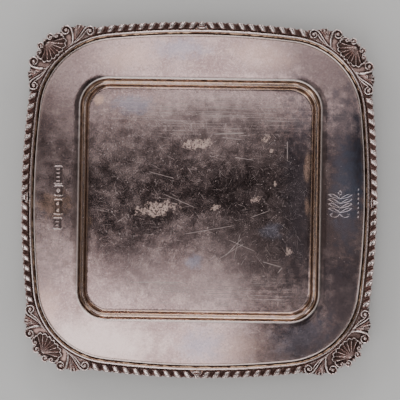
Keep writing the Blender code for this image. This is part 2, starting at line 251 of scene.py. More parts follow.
def punch_motifs(x, y):
    """Distance inside each punch's raised motif: four bars, a diamond, two discs and two bars."""
    four = [box_inside(x, y, -80.5, 12.95 + dy, 1.25, 0.45, 0.3) for dy in (-3.3, -1.1, 1.1, 3.3)]
    diamond = 1.2 - 0.75 * (np.abs(x + 80.2) + np.abs(y - 4.1))
    discs = [1.05 - np.hypot(x + 80.5, y + 3.2), 1.05 - np.hypot(x + 80.3, y + 7.1)]
    two = [box_inside(x, y, -80.6, -13.6, 1.3, 0.4, 0.2), box_inside(x, y, -80.6, -15.6, 1.0, 0.4, 0.2)]
    return np.maximum.reduce(four), diamond, np.maximum.reduce(discs), np.maximum.reduce(two)


def struck_marks(x, y):
    """Height change, painted highlights, and soot with painted shade, of four generic punches in a column on
    the left rim.
    """
    change, shine, soot_and_painted_shade = np.zeros_like(x), np.zeros_like(x), np.zeros_like(x)
    for punch, motif in zip(PUNCHES, punch_motifs(x, y)):
        middle_x, middle_y, _, half_y, _ = punch
        inside = box_inside(x, y, *punch)
        sunk, up = smoothstep(inside, 0.0, 0.35), smoothstep(motif, 0.0, 0.3)
        change += sunk * (MOTIF_RISE * up - PUNCH_DEPTH)
        end = smoothstep(np.abs(y - middle_y), half_y - 0.9, half_y - 0.45)  # the punch's far edges
        right = smoothstep(x - middle_x, 0.6, 1.7)
        # Painted highlights on the punch's top and bottom edges and on its motif, away from the right side.
        for bright in (0.65 * bump(inside, 0.0, 0.36) * end, 0.45 * sunk * up * (1 - right)):
            shine = np.maximum(shine, bright)
        # Soot in the punch and round the motifs, with painted shade that grows to the right and along the
        # long walls.
        for dark in (
            sunk * (0.4 + 0.5 * right) * (1 - 0.8 * up), 0.95 * bump(motif, -0.15, 0.4) * sunk,
            bump(inside, 0.25, 0.5) * (1 - end) * (0.55 + 0.45 * right),
        ):
            soot_and_painted_shade = np.maximum(soot_and_painted_shade, dark)
    return change, shine, soot_and_painted_shade


def device_paths():
    """A plain leaf sprig: a stem that ends in a bud, four pairs of leaves and two curls at its foot."""
    paths = [((0, -6.0), (0, 5.4))]
    for side in (-1, 1):
        curl = ((0, -6.0), (2.0, -7.4), (4.6, -7.2), (5.4, -6.0), (4.2, -5.6))
        paths.append([(side * x, y) for x, y in curl])
        paths.append(((0, 5.0), (side * 1.0, 6.0), (0, 7.4)))
        for low in (-4.9, -2.3, 0.3, 2.9):
            tip = (side * 6.8, low + 2.3)
            paths.append(((0, low), (side * 2.4, low + 1.5), (side * 4.6, low + 2.6), tip))
            paths.append(((0, low), (side * 2.9, low + 0.6), (side * 4.9, low + 1.2), tip))
    return paths


def engraving(x, y):
    """Height change, a painted highlight and no soot, of the sprig and a column of dots on the right rim."""
    u, v = x - DEVICE_AT[0], y - DEVICE_AT[1]
    inside = [LINE_HALF - along(spline(path, 6), u, v)[0] for path in device_paths()]
    inside += [DOT_RADIUS - np.hypot(x - DOTS_AT[0], y - DOTS_AT[1] + DOT_PITCH * k) for k in range(7)]
    cut = smoothstep(np.maximum.reduce(inside), -0.12, 0.16)
    return -CUT_DEPTH * cut, CUT_HIGHLIGHT * cut, np.zeros_like(x)


# -------------------- the raised sheet
SIDE_STEPS, CORNER_STEPS = 42, 44
# The well's section: half width, depth below the rim top. It ends in a crest just proud of the rim.
WELL_SECTION = np.array((
    (62.8, 5.5), (63.4, 5.48), (63.9, 5.38), (64.3, 5.15), (64.6, 4.7), (64.8, 3.9), (64.95, 3.0),
    (65.15, 2.35), (65.45, 2.02), (65.8, 1.88), (66.2, 1.84), (66.6, 1.74), (67.0, 1.52), (67.4, 1.18),
    (67.8, 0.66), (68.1, 0.14), (68.4, -0.26), (68.8, -0.42), (69.2, -0.38), (69.8, -0.25), (70.6, -0.11),
    (71.6, -0.02), (72.6, 0.0),
))
# Patina down that section: half width, amount.
WELL_STAIN = (
    (63.2, 0.0), (63.8, 0.25), (64.4, 0.35), (64.9, 0.95), (65.4, 0.5), (65.9, 0.18), (66.4, 0.28),
    (67.2, 0.38), (67.8, 0.85), (68.2, 0.95), (68.5, 0.0),
)
# The same moulding seen from below: half width, depth below the rim top.
UNDER_SECTION = np.array((
    (72.4, 1.0), (70.6, 0.8), (69.8, 1.1), (69.0, 2.1), (68.1, 3.2), (67.0, 3.6), (66.3, 4.3), (65.7, 5.6),
    (64.7, 6.3), (63.2, 6.5),
))
FLAT_END = -4.2  # the flat rim ends here, outwards of the bead line
ROLL_AT, GROOVE_AT = -2.05, -1.2  # a fine roll and a groove inside the bead wire
RIM_RINGS = (FLAT_END, -3.2, -2.8, -2.6, *np.arange(-2.45, -0.6, 0.15), -0.4, 0.5, 2.4)
# The sheet's rounded edge: outwards of the bead line, depth.
EDGE_SECTION = ((4.2, 0.0), (4.48, 0.1), (4.6, 0.35), (4.6, 0.65), (4.48, 0.9), (4.2, SHEET), (-2.0, SHEET))


def well_ring(half):
    corner = 17.0 + 0.92 * (half - 69.15)
    return Cushion(half, STRAIGHT, corner).ring(SIDE_STEPS, CORNER_STEPS)


def rim_ring(out):
    return BEAD_LINE.ring(SIDE_STEPS, CORNER_STEPS, out)


def plate_mesh():
    """One closed grid of rings: floor, well section, rim, fine roll and groove, edge, underside."""
    rings = []

    def add(ring, depth, stain=0.0, shine=0.0):
        rings.append((ring, depth, stain, shine))

    for share in (0.04, 0.12, 0.22, 0.33, 0.44, 0.55, 0.66, 0.77, 0.87, 0.95):
        add(well_ring(WELL_SECTION[0, 0]) * share, WELL_SECTION[0, 1])
    for half, depth in spline(WELL_SECTION, 3):
        # Painted highlights on the well's crest roll and, fainter, on its second roll.
        shine = 0.9 * bump(half, 68.9, 0.6) + 0.25 * bump(half, 66.1, 0.4)
        add(well_ring(half), depth, read(half, WELL_STAIN), shine)
    mouth, rim = well_ring(WELL_SECTION[-1, 0]), rim_ring(FLAT_END)
    for share in np.linspace(0, 1, 19)[1:-1]:
        add(mouth + (rim - mouth) * share, 0.0)
    for out in RIM_RINGS:
        rise = 0.2 * bump(out, ROLL_AT, 0.45) - 0.19 * bump(out, GROOVE_AT, 0.5)
        stain = bump(out, GROOVE_AT, 0.5) + 0.14 * bump(out, -2.9, 0.8) + bump(out, 0.5, 1.2)
        # A painted highlight on the fine roll.
        add(rim_ring(out), -rise, stain, 0.9 * bump(out, ROLL_AT + 0.05, 0.5))
    for out, depth in EDGE_SECTION:
        add(rim_ring(out), depth)
    inner = well_ring(UNDER_SECTION[0, 0])
    for share in (0.2, 0.45, 0.7):
        add(rim + (inner - rim) * share, SHEET)
    for half, depth in spline(UNDER_SECTION, 2):
        add(well_ring(half), depth)
    for share in (0.8, 0.5, 0.04):
        add(well_ring(UNDER_SECTION[-1, 0]) * share, UNDER_SECTION[-1, 1])
    outlines, depths, stains, shines = zip(*rings)
    count = len(rim)
    points = np.column_stack([np.vstack(outlines), RIM_TOP - np.repeat(depths, count)])
    faces = tube_faces(len(rings), count)
    mesh = mesh_of(points, faces, patina=np.repeat(stains, count), shine=np.repeat(shines, count))
    refine(mesh)
    return shaped_plate(outward(mesh))


def refine(mesh):
    """Smaller faces on top of the rim, where the struck marks and the engraving are."""
    for x0, x1, y0, y1 in (MARK_AREA, DEVICE_AREA):
        with edited(mesh) as bm:
            edges = set()
            for face in bm.faces:
                on_top = len(face.verts) == 4 and min(v.co.z for v in face.verts) >= (RIM_TOP - 0.05) * MM
                middle = face.calc_center_median() / MM
                if on_top and x0 < middle.x < x1 and y0 < middle.y < y1:
                    edges.update(face.edges)
            bmesh.ops.subdivide_edges(bm, edges=list(edges), cuts=6, use_grid_fill=True)


def shaped_plate(mesh):
    """The marks and the engraving cut in, and the sheet made slightly uneven."""
    places = places_in(mesh) / MM
    x, y, z = places.T.copy()
    shine, soot_and_painted_shade = np.zeros(len(places)), np.zeros(len(places))
    mesh.attributes["shine"].data.foreach_get("value", shine)
    for (x0, x1, y0, y1), work in ((MARK_AREA, struck_marks), (DEVICE_AREA, engraving)):
        near = (z > RIM_TOP - 0.6) & (x > x0 - 1) & (x < x1 + 1) & (y > y0 - 1) & (y < y1 + 1)
        change, bright, soot_and_painted_shade[near] = work(x[near], y[near])
        places[near, 2] += change
        shine[near] = np.maximum(shine[near], bright)
    places[:, 2] += 0.028 * np.sin(x / 17 + 1.1) * np.sin(y / 21 + 0.4)
    places[:, 2] += 0.02 * np.sin((x + y) / 13) * np.sin((x - y) / 19 + 2)
    mesh.vertices.foreach_set("co", (places * MM).ravel())
    set_attributes(mesh, {"shine": shine, "soot_and_painted_shade": soot_and_painted_shade})
    mesh.update()
    return mesh


# -------------------- the bead wire
BEAD_STEPS, BEAD_SIDES = 60, 14


def bead_mesh():
    """A round wire from the middle of one side, round the corner, to the middle of the next."""
    quarter = BEAD_LINE.ring(BEAD_STEPS, BEAD_STEPS)[: 3 * BEAD_STEPS]
    path = np.vstack([quarter, (0.0, BEAD_HALF)])
    path[0, 1] += GAP / 2
    path[-1, 0] += GAP / 2
    tangent = np.gradient(path, axis=0)
    tangent /= np.linalg.norm(tangent, axis=1)[:, None]
    normal = np.stack([tangent[:, 1], -tangent[:, 0]], -1)
    angles = 2 * math.pi * np.arange(BEAD_SIDES) / BEAD_SIDES
    across, up = BEAD_WIRE * np.cos(angles)[:, None], np.tile(np.sin(angles), (len(path), 1))
    height = BASE + BEAD_WIRE + BEAD_WIRE * up
    rows = np.concatenate([path[:, None] + normal[:, None] * across, height[..., None]], -1).reshape(-1, 3)
    # Painted shade over the wire's sides and underside, and a painted highlight along its top.
    patina, shine = smoothstep(-up, -0.95, -0.2), smoothstep(up, 0.75, 1.0)
    return outward(mesh_of(rows, tube_faces(len(path), BEAD_SIDES), patina=patina, shine=shine))


# -------------------- the gadroon
STEPS_PER_LOBE = 26
LOBE_SHARES = np.concatenate([np.linspace(0, 0.8, 15), np.linspace(0.84, 1.0, 7)])  # rows outwards
# Height of a lobe's crest and of the gap between two lobes, by share of the way outwards.
LOBE_CREST = (
    (0, 1.7), (0.08, 2.5), (0.3, 2.7), (0.45, 2.7), (0.6, 3.0), (0.75, 2.95), (0.9, 2.3), (1.0, 0.6),
)
LOBE_GAP = ((0, 0.9), (0.15, 1.1), (0.5, 1.3), (0.8, 1.2), (1.0, 0.3))
EDGE_TURN = 0.94 * math.pi / 2  # the border's rounded outer edge turns through this much


def gadroon_mesh(direction):
    """Ten cast lobes: a bulb outside, a narrower tail slanting in, a thin ridge in each gap."""
    start, end = LEAF_HALF + GAP, BEAD_LINE.eighth - MOUNT_HALF - GAP
    s = np.linspace(start, end, STEPS_PER_LOBE * LOBES + 1)[:, None]
    phase = ((s - start) / ((end - start) / LOBES)) % 1.0 - 0.5
    phase[-1] = 0.5
    t = LOBE_SHARES[None, :]
    crest, gap = read(t, LOBE_CREST), read(t, LOBE_GAP)
    half = 0.3 + 0.13 * smoothstep(t, 0.1, 0.75)
    lobe = np.clip(1 - np.abs(phase / half) ** 2.7, 0, 1) ** 0.55
    lobe *= 1 - 0.09 * bump(phase, 0.08, 0.07) * smoothstep(t, 0.1, 0.3)  # a crease beside the crest
    ridge = 0.45 * bump(np.abs(phase), 0.5, 0.055) * (1 - t**4)
    height = np.maximum(gap + (crest - gap) * lobe, gap + ridge)
    reach = BORDER_OUT - 0.55 * np.clip(np.abs(phase) / 0.5, 0, 1) ** 2.5
    out = BORDER_IN + (reach - BORDER_IN) * np.sin(t * EDGE_TURN) / math.sin(EDGE_TURN)
    top = np.concatenate([BEAD_LINE.at_length(s - lean_at(out), out), (BASE + height)[..., None]], -1)
    rows = np.concatenate([top[:, :1], top, top[:, -1:]], 1)
    rows[:, (0, -1), 2] = BASE
    rows[..., 1] *= direction
    # Patina in the gaps, a painted highlight along each crest, painted shade over the flanks off the crest,
    # and full patina and painted shade on the walls down to the rim.
    sunk = np.clip(1 - (height - gap) / 1.0, 0, 1) * (1 - 0.6 * bump(np.abs(phase), 0.5, 0.07))
    bright = bump(phase, -0.02, 0.21) * smoothstep(t, 0.02, 0.15)
    patina = np.pad(np.maximum(sunk, 0.52 * (1 - bright)), ((0, 0), (1, 1)), constant_values=1.0)
    shine = np.pad(bright, ((0, 0), (1, 1)))
    faces = tube_faces(*rows.shape[:2])
    return outward(mesh_of(rows.reshape(-1, 3), faces, patina=patina, shine=shine))


# -------------------- cast relief, from height maps
LEAST = 0.2  # lowest height of a casting's top


def values_at(share, values):
    """Values that are spaced evenly from 0 to 1, read at share."""
    return np.interp(share, np.linspace(0, 1, len(values)), values)


def crown(q):
    """A half circle over -1 to 1, 0 outside."""
    return np.sqrt(np.clip(1 - q**2, 0, 1))


def tube(path, radius, top):
    """A round-backed scroll along a path; radius and top are read along it."""
    path = spline(path)

    def shape(x, y):
        distance, share = along(path, x, y)
        r, t = values_at(share, radius), values_at(share, top)
        rise = np.minimum(1.25 * r, t)
        return t - rise + rise * crown(distance / r), r - distance

    return shape


def dome(centre, half_x, half_y, top, rise):
    """A low dome on an ellipse."""
    def shape(x, y):
        q = np.hypot((x - centre[0]) / half_x, (y - centre[1]) / half_y)
        return top - rise + rise * crown(q), (1 - q) * min(half_x, half_y)

    return shape


def leaf(path, half, top):
    """A leaf lobe with a sunk midrib and fine striations."""
    path = spline(path)

    def shape(x, y):
        distance, share = along(path, x, y)
        width = half * np.sin(np.pi * np.clip(0.1 + 0.86 * share, 0, 1)) ** 0.7 + 0.02
        q = distance / width
        cut = 0.3 * bump(q, 0, 0.2) + 0.1 * np.cos(4 * math.pi * q) * (q > 0.2)
        return values_at(share, top) - 0.9 + 0.9 * crown(q) - cut, width - distance

    return shape


def relief_mesh(shapes, fence, x_range, y_range, step, tone, blur):
    """A closed casting: its top is the highest of the shapes, cut to their joint outline and the fence.

    The ranges cover one half; the other is its mirror image. Tone adds patina and painted shade, or where it
    is negative, a painted highlight. Patina lies where the top is lower than it is when blurred, and a
    painted highlight where it is higher.
    """
    x, y = np.meshgrid(np.arange(*x_range, step), np.arange(*y_range, step), indexing="ij")
    height, inside = np.full(x.shape, LEAST), np.full(x.shape, -9.0)
    for shape in shapes:
        top, within = shape(x, y)
        height = np.where(within > 0, np.maximum(height, top), height)
        inside = np.maximum(inside, within)
    inside, extra = np.minimum(inside, fence(x, y)), tone(x, y)
    x = np.concatenate([-x[:0:-1], x])
    y, height, inside, extra = (np.concatenate([a[:0:-1], a]) for a in (y, height, inside, extra))
    kept = inside > 0
    for axis in (0, 1):  # outside points take the height of their neighbours
        for shift in (-1, 1):
            near, has = np.roll(height, shift, axis), np.roll(kept, shift, axis)
            height = np.where(~kept & has & (height <= LEAST), near, height)
    soft = blurred(np.where(kept, height, 0.7), blur / step)
    # Patina in the hollows with painted shade from tone; painted highlights on the high parts.
    patina = np.clip((soft - height) / 0.6 + 0.22 + extra, 0, 1)
    shine = np.clip((height - soft) / 0.4 - 0.15 - np.minimum(extra, 0), 0, 1) * np.clip(1 - extra, 0, 1)
    return closed_below(cut_out(x, y, height, inside, step, patina=patina, shine=shine))


def cut_out(x, y, height, inside, step, **attributes):
    """The grid's cells that are mostly inside, their outer corners moved on to the outline."""
    slopes = np.gradient(inside, step)
    steepness = np.maximum(slopes[0] ** 2 + slopes[1] ** 2, 0.15)
    inner = (inside > 0).astype(int)
    cells = inner[:-1, :-1] + inner[1:, :-1] + inner[1:, 1:] + inner[:-1, 1:] >= 3
    uses = np.zeros(x.shape, int)
    for i in (0, 1):
        for j in (0, 1):
            uses[i: i + cells.shape[0], j: j + cells.shape[1]] += cells
    used, edge = uses > 0, (uses > 0) & (uses < 4)
    limit = 0.7 * step
    x, y = (
        place - np.where(edge, np.clip(inside * slope / steepness, -limit, limit), 0)
        for place, slope in zip((x, y), slopes)
    )
    index = -np.ones(x.shape, int)
    index[used] = np.arange(used.sum())
    i, j = np.nonzero(cells)
    faces = np.column_stack([index[i, j], index[i + 1, j], index[i + 1, j + 1], index[i, j + 1]]).tolist()
    points = np.column_stack([x[used], y[used], height[used]])
    return mesh_of(points, faces, **{name: values[used] for name, values in attributes.items()})


def closed_below(mesh):
    """The relief with walls down to height 0 and a flat underside."""
    with edited(mesh) as bm:
        rim = [edge for edge in bm.edges if edge.is_boundary]
        grown = bmesh.ops.extrude_edge_only(bm, edges=rim)["geom"]
        for item in grown:
            if isinstance(item, bmesh.types.BMVert):
                item.co.z = 0.0
        lower = [item for item in grown if isinstance(item, bmesh.types.BMEdge) and item.is_boundary]
        bmesh.ops.edgeloop_fill(bm, edges=lower)
        bmesh.ops.recalc_face_normals(bm, faces=bm.faces)
    return mesh


def blurred(values, radius):
    """A box blur run twice along both axes, with this radius in grid steps."""
    reach = max(1, int(round(radius)))
    width = 2 * reach + 1
    for _ in range(4):
        total = np.cumsum(np.pad(values, ((reach, reach), (0, 0)), mode="edge"), 0)
        total = np.pad(total, ((1, 0), (0, 0)))
        values = ((total[width:] - total[:-width]) / width).T
    return values


# -------------------- the corner mount
# It is made straight, with x across the diagonal and y outwards of the bead line. Its places are listed as
# degrees from the diagonal and distance outwards.
MIDDLE_BEAD = 12.9  # distance outwards
# Eyes of the volutes: place, radius and top.
EYES = ((3.6, 12.1, 0.8, 3.4), (7.3, 10.2, 0.65, 3.0), (13.3, 9.95, 1.05, 3.5), (26.9, 3.95, 1.05, 3.4))
# Outer edge of the casting's ground.
GROUND_EDGE = (
    (0, 12.6), (5, 12.4), (7, 11.6), (8.5, 11.3), (11, 11.0), (13, 11.6), (15, 11.4), (16.5, 10.7),
    (17.5, 9.9), (19, 9.6), (21, 9.7), (23, 8.7), (24.5, 7.7), (26, 6.7), (28, 6.2), (29.5, 5.8), (32, 5.4),
)
# Scrolls: path, radii and tops. The small volute beside the middle bead, the curl at the shell, the large
# volute with its arm, the end volute and a second ridge beside the bead wire.
SCROLLS = (
    (((5.2, 10.7), (5.45, 12.1), (4.9, 13.35), (3.6, 13.85), (2.4, 13.35), (1.95, 12.2), (2.5, 11.1),
      (3.6, 10.8), (4.4, 11.5)),
     (0.4, 0.44, 0.44, 0.36), (2.6, 3.0, 3.1, 2.8)),
    (((10.2, 7.6), (9.7, 9.6), (8.6, 11.0), (7.0, 11.45), (5.9, 10.7), (6.3, 9.6), (7.4, 9.6)),
     (0.35, 0.45, 0.42, 0.4), (2.4, 2.9, 2.9, 2.7)),
    (((11.7, 1.5), (13.5, 2.8), (15.1, 4.8), (16.0, 7.0), (16.3, 9.3), (15.6, 11.3), (13.9, 12.2),
      (12.0, 11.9), (10.9, 10.5), (11.1, 8.9), (12.4, 8.0), (13.9, 8.2), (14.8, 9.3)),
     (0.4, 0.75, 0.82, 0.6, 0.48, 0.42, 0.42, 0.4, 0.35), (1.5, 2.4, 2.9, 3.1, 3.3, 3.3, 3.0, 2.8, 2.6)),
    (((10.8, 1.55), (14.6, 1.95), (18.0, 2.9), (21.0, 4.4), (23.9, 5.95), (26.6, 6.5), (28.6, 5.8),
      (29.3, 4.2), (28.8, 2.6), (27.3, 1.8), (25.5, 2.2), (24.7, 3.5), (25.3, 4.8), (26.5, 5.1)),
     (0.28, 0.36, 0.44, 0.44, 0.4, 0.4, 0.36), (1.6, 2.0, 2.5, 3.1, 3.2, 2.9, 2.6)),
    (((13.5, 1.4), (17.0, 1.75), (20.0, 2.5), (22.4, 3.5), (24.1, 4.5)),
     (0.25, 0.38, 0.42, 0.36), (1.5, 2.0, 2.4, 2.6)),
)
# Leaves between the two arms: middle, tip and top; all grow from one stem.
LEAF_STEM = (15.2, 2.7)
LEAVES = (
    ((18.4, 5.0), (24.0, 7.7), 2.2), ((18.6, 6.0), (22.5, 9.2), 2.5), ((18.2, 6.4), (20.4, 10.2), 2.8),
    ((17.6, 6.2), (18.4, 9.6), 2.5),
)
# The shell's outline is a superellipse; its flutes spread from a hinge near its outer edge.
SHELL_HINGE, SHELL_MIDDLE, SHELL_WIDE, SHELL_DEEP, SHELL_POWER = 10.9, 6.3, 9.2, 4.85, 2.5
FLUTES, SPREAD = 11, math.radians(96)
LIP_OUT, LIP_HALF = 0.1, 0.5  # the lip's middle, outside the outline, and its half width
SHELL_BED = ((0, 2.25), (0.25, 2.05), (0.7, 1.85), (0.92, 1.95), (1.0, 2.3))  # from hinge to outline


def polar(x, y):
    """Degrees from the diagonal and distance outwards of the bead line, from straight coordinates."""
    return np.degrees(np.arctan2(x, y + CORNER)), np.hypot(x, y + CORNER) - CORNER


def straight(places):
    """Straight coordinates of places in degrees and distance outwards."""
    degrees, out = np.transpose(places)
    angle, radius = np.radians(degrees), CORNER + out
    return np.column_stack([radius * np.sin(angle), radius * np.cos(angle) - CORNER])


def shell_fan(x, y):
    """Distance from the hinge, the scalloped outline's distance, place across a flute and angle."""
    angle, distance = np.arctan2(x, SHELL_HINGE - y), np.hypot(x, SHELL_HINGE - y)
    angles, ray = np.linspace(-SPREAD, SPREAD, 241), np.linspace(0.2, 14, 400)
    reach = []
    for a in angles:
        u, v = ray * math.sin(a) / SHELL_WIDE, (SHELL_HINGE - ray * math.cos(a) - SHELL_MIDDLE) / SHELL_DEEP
        inside = np.abs(u) ** SHELL_POWER + np.abs(v) ** SHELL_POWER < 1
        reach.append(np.where(inside, ray, ray[0]).max())
    place = (angle / (2 * SPREAD) + 0.5) * FLUTES
    across = 2 * (place - np.floor(place)) - 1
    return distance, np.interp(angle, angles, reach) * (1 - 0.1 * across**2), across, angle


def shell_shape(x, y):
    """Hollow flutes that spread from the hinge, inside a raised scalloped lip."""
    distance, outline, across, angle = shell_fan(x, y)
    share = distance / outline
    bed = read(share, SHELL_BED)
    hollow = 0.9 * smoothstep(share, 0.0, 0.7) * (1 - np.abs(across) ** 1.6)
    lip = crown((distance - outline - LIP_OUT) / LIP_HALF)
    height = np.where(distance < outline, bed - hollow, 0.0)
    height = np.maximum(height, np.where(lip > 0, 2.0 + 0.95 * lip, 0))
    return height, np.where(np.abs(angle) < SPREAD, outline + LIP_OUT + LIP_HALF - distance, -1.0)


def ground_shape(x, y):
    """The casting's ground, a little higher inwards, with a fillet beside the bead."""
    degrees, out = polar(x, y)
    edge = read(np.abs(degrees), GROUND_EDGE)
    return 0.85 + 0.3 * np.clip((edge - out) / 3.0, 0, 1) + 0.35 * bump(out, 1.45, 0.25), edge - out


def mount_shade_and_highlight(x, y):
    """Patina in the shell's flutes, with a painted shadow of the lip, none on the ridges; painted highlights
    on the volutes' eyes and the middle bead.
    """
    distance, outline, across, _ = shell_fan(x, y)
    share = distance / outline
    # Patina in the flute hollows, with a painted shadow of the lip that deepens towards the outline; darker
    # near the hinge.
    flute = (1 - np.abs(across) ** 3) * (0.25 + 0.35 * smoothstep(share, 0.2, 0.9))
    hinge = 0.5 * smoothstep(-share, -0.35, -0.1)
    tone = np.maximum(flute, hinge) * smoothstep(outline - distance, 0.1, 0.5)
    for degrees, out, size, _ in (*EYES, (0.0, MIDDLE_BEAD, 1.0, 0.0)):
        (eye_x, eye_y), = straight(((degrees, out),))
        near = smoothstep(-np.hypot(x - eye_x, y - eye_y), -size, -0.6 * size)
        # Painted highlights on the eyes and the middle bead.
        tone = tone * (1 - near) - 0.9 * near
    return tone


def mount_fence(x, y):
    degrees, out = polar(x, y)
    end = MOUNT_HALF + lean_at(out) - np.radians(np.abs(degrees)) * CORNER
    return np.minimum(out - BORDER_IN, end)


def mount_mesh():
    """The casting of the +X +Y corner."""
    shapes = [ground_shape, shell_shape, dome((0, MIDDLE_BEAD), 0.95, 1.25, 3.4, 1.6)]
    shapes += [tube(straight(path), radius, top) for path, radius, top in SCROLLS]
    shapes += [dome(straight((eye[:2],))[0], eye[2], eye[2], eye[3], 1.3) for eye in EYES]
    for middle, tip, top in LEAVES:
        shapes.append(leaf(straight((LEAF_STEM, middle, tip)), 0.85, (1.6, top, top - 0.4)))
    mesh = relief_mesh(shapes, mount_fence, (0.0, 29.5), (-9.5, 15.5), 0.13, mount_shade_and_highlight, 0.9)
    diagonal = (BEAD_LINE.centre * math.sqrt(2) + CORNER) * MM
    mesh.transform(Matrix.Rotation(-math.pi / 4, 4, "Z") @ Matrix.Translation((0, diagonal, BASE * MM)))
    return mesh


# -------------------- the side leaf
COLLAR = (
    (((0, 1.45), (1.2, 1.5), (2.4, 1.75), (3.2, 2.15)), (0.34, 0.34, 0.28), (2.3, 2.2, 1.8)),
    (((0, 2.05), (1.1, 2.12), (2.1, 2.4), (2.8, 2.9)), (0.28, 0.28, 0.24), (2.0, 2.0, 1.6)),
)
BELL_FROM, BELL_TO = 2.3, 5.65
BELL_HALF = ((2.3, 1.7), (2.9, 2.1), (4.0, 1.75), (5.0, 1.35), (5.7, 0.4))  # outwards, half width
BELL_TOP = ((2.3, 1.4), (2.7, 2.4), (3.6, 2.5), (4.9, 3.2), (5.4, 2.7), (5.7, 1.2))  # outwards, height
BELL_GROUND = 0.8


def side_leaf_mesh():
    """A collar of two curved ridges at the bead, then a bell with a rounded end."""
    def fence(x, y):
        ends = np.minimum(y - BORDER_IN, BORDER_OUT + 0.25 - y)
        return np.minimum(LEAF_HALF - lean_at(y) - np.abs(x), ends)

    def ground(x, y):
        return np.full(x.shape, BELL_GROUND), 4.9 - y

    def bell(x, y):
        half = read(y, BELL_HALF)
        q = np.clip(np.abs(x) / half, 0, 1)
        rise = read(y, BELL_TOP) - BELL_GROUND
        end = np.minimum(y - BELL_FROM, BELL_TO - y - 0.35 * q**2)
        return BELL_GROUND + rise * crown(q), np.minimum(half - np.abs(x), end)

    # A painted highlight over the bell.
    def bright_bell(x, y):
        return -0.6 * smoothstep(bell(x, y)[1], 0.0, 0.5)

    shapes = [ground, bell, *(tube(*ridge) for ridge in COLLAR)]
    mesh = relief_mesh(shapes, fence, (0.0, 4.2), (0.7, 6.2), 0.1, bright_bell, 0.6)
    place = Matrix.Translation((0, BEAD_HALF * MM, BASE * MM))
    mesh.transform(Matrix.Rotation(-math.pi / 2, 4, "Z") @ place)
    return mesh


# -------------------- the feet
FOOT_TOP = BASE - GAP - SHEET - GAP
# Outwards along the diagonal, height, thickness of the leg.
FOOT_LEG = (
    (0.6, 11.4, 2.5), (0.9, 10.2, 2.7), (2.2, 8.8, 2.8), (2.9, 7.1, 2.4), (1.9, 5.1, 1.8), (1.0, 3.4, 1.55),
    (1.3, 2.0, 1.7), (1.6, 1.0, 1.8),
)
# Radius and depth of the oval plate under the rim; radius and height of the round pad.
PLATE_PROFILE = (
    (0.1, 0.0), (5.6, 0.0), (5.8, 0.25), (5.7, 0.55), (5.2, 0.75), (4.9, 1.1), (4.2, 1.4), (0.1, 1.5),
)
PAD_PROFILE = (
    (0.1, 0.0), (3.7, 0.0), (4.0, 0.3), (4.0, 0.7), (3.7, 1.0), (3.2, 1.15), (2.6, 1.5), (0.1, 1.7),
)
PLATE_STRETCH = 1.24  # the plate's length across the diagonal, per unit along it
SCROLL_AT, SCROLL_RADIUS, SCROLL_SIDE = (2.3, 8.6), 2.3, 2.9  # the scrolls on both sides of the knee
SCROLL_START, SCROLL_STEP, SCROLL_STEPS = -1.2, 0.33, 30
VOXEL = 0.17


def swept(path, radii, breadth, sides, ribs):
    """A closed tube along a path in the x, z plane; ribs run along its front."""
    tangent = np.gradient(path, axis=0)
    tangent /= np.linalg.norm(tangent, axis=1)[:, None]
    angle = np.linspace(0, 2 * math.pi, sides, endpoint=False)
    rows = []
    for (x, z), (tangent_x, tangent_z), radius in zip(path, tangent, radii):
        size = radius * (1 + ribs * np.cos(6 * angle) * (np.cos(angle) > -0.2))
        a, b = size * np.cos(angle), size * np.sin(angle) * breadth
        rows.append(np.column_stack([x - tangent_z * a, b, z + tangent_x * a]))
    return np.vstack(rows), tube_faces(len(rows), sides)


def lathe(profile, middle_x, stretch_y, sides=64):
    """A turned solid on an upright axis, stretched across the diagonal."""
    angle = np.linspace(0, 2 * math.pi, sides, endpoint=False)
    rows = [
        np.column_stack([
            middle_x + radius * np.cos(angle), radius * stretch_y * np.sin(angle), np.full(sides, z),
        ])
        for radius, z in profile
    ]
    return np.vstack(rows), tube_faces(len(rows), sides)


def grown_together(solids):
    """One skin round overlapping solids, by a voxel remesh, softened a little."""
    mesh = bpy.data.meshes.new("solids")
    with edited(mesh) as bm:
        for points, faces in solids:
            verts = [bm.verts.new(point) for point in points]
            for face in faces:
                bm.faces.new([verts[i] for i in face])
        bmesh.ops.recalc_face_normals(bm, faces=bm.faces)
    holder = linked("solids", mesh)
    remesh = holder.modifiers.new("grow", "REMESH")
    remesh.mode, remesh.voxel_size = "VOXEL", VOXEL
    soften = holder.modifiers.new("soften", "SMOOTH")
    soften.factor, soften.iterations = 0.5, 3
    bpy.context.view_layer.update()
    grown = bpy.data.meshes.new_from_object(holder.evaluated_get(bpy.context.evaluated_depsgraph_get()))
    bpy.data.objects.remove(holder)
    return grown


